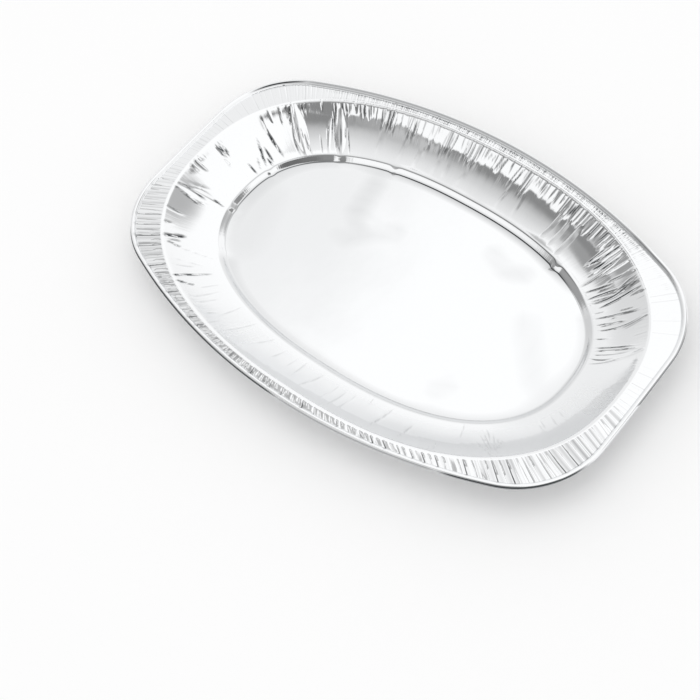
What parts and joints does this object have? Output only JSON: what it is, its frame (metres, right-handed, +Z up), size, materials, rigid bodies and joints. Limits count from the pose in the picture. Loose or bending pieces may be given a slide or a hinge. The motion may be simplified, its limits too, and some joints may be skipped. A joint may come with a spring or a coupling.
{
  "type": "foil roasting pan",
  "caption": "Shallow oval foil roasting pan or serving platter: flat stepped well, gathered sloping wall, crimped flange and rolled rim.",
  "frame": {"origin": "centre of the underside of the flat well panel, which is also the bottom centre of the pan", "axes": "+X along the pan's length, +Y across it and +Z up out of the open side"},
  "size_m": [0.43, 0.277, 0.0287],
  "materials": {
    "foil": "bright rolled foil, not coated"
  },
  "bodies": {
    "root": {"foil_pan": "foil"}
  },
  "joints": []
}
